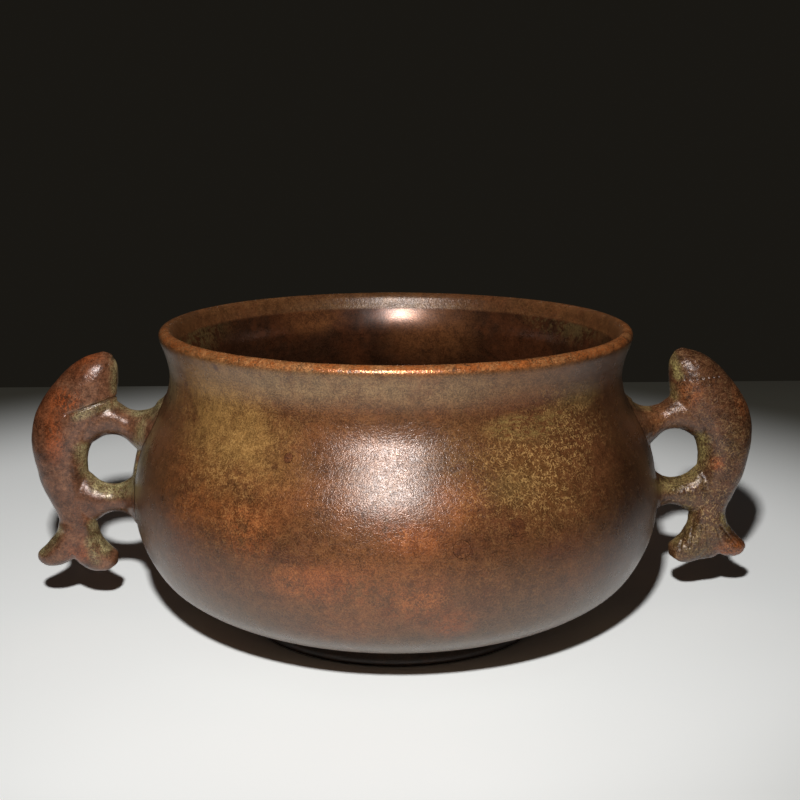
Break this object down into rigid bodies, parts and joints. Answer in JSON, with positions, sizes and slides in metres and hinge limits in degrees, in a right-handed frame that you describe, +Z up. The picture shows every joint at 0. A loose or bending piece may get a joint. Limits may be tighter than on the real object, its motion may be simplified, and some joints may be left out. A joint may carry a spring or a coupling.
{
  "type": "incense burner",
  "caption": "Squat round bronze incense burner with a bulging bowl, pinched neck, plain rounded lip, low foot ring and a fish-shaped handle on each side.",
  "frame": {"origin": "on the floor at the middle of the foot ring, on the bowl's axis", "axes": "+Z up along the bowl's axis, +X towards the right handle, -Y towards the side the picture shows"},
  "size_m": [0.1886, 0.1352, 0.077],
  "materials": {
    "bowl_bronze": "satin patinated bronze, umber brown with orange and olive mottling",
    "foot_bronze": "dark patinated bronze, worn lighter on the standing edge",
    "fish_bronze": "handled reddish-brown bronze with green in the creases",
    "pin_copper": "dull dark-red copper"
  },
  "bodies": {
    "root": {"bowl": "bowl_bronze", "foot_ring": "foot_bronze", "base_plate": "foot_bronze", "fish_handle_left": "fish_bronze", "fish_handle_right": "fish_bronze", "upper_rivet_left": "pin_copper", "lower_rivet_left": "pin_copper", "upper_rivet_right": "pin_copper", "lower_rivet_right": "pin_copper", "core_plug_left": "pin_copper", "core_plug_middle": "pin_copper", "core_plug_right": "pin_copper"}
  },
  "joints": []
}
